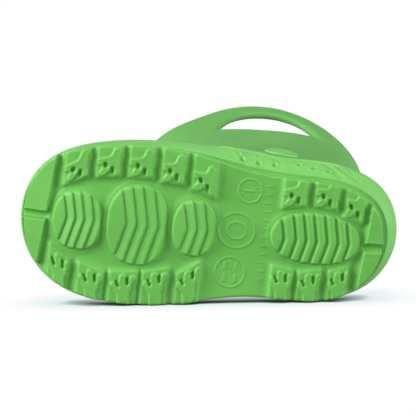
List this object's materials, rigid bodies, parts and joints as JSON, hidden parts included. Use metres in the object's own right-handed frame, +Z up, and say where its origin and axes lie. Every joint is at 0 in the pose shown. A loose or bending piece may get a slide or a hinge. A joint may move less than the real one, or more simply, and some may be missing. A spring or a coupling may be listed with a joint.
{
  "type": "child's garden boot",
  "caption": "Short pull-on garden boot for a child's right foot, with a lugged tread, chevron traction pads, a sidewall band and two grab handles moulded into the shaft.",
  "frame": {"origin": "the middle of the boot's bounding box, at the level of the tread face it stands on", "axes": "+Z up out of the shaft, the toe points along -Y and the heel along +Y, +X is the inner (medial) side of the right foot"},
  "size_m": [0.0849, 0.181, 0.162],
  "materials": {
    "tread_green": "satin",
    "band_green": "satin",
    "upper_green": "matte",
    "footbed_green": "matte"
  },
  "bodies": {
    "root": {"outsole": "tread_green", "toe_pad": "tread_green", "ball_pad": "tread_green", "waist_pad": "tread_green", "heel_pad": "tread_green", "midsole": "band_green", "sidewall_band": "band_green", "upper_shell": "upper_green", "ankle_badge": "upper_green", "footbed": "footbed_green"}
  },
  "joints": []
}
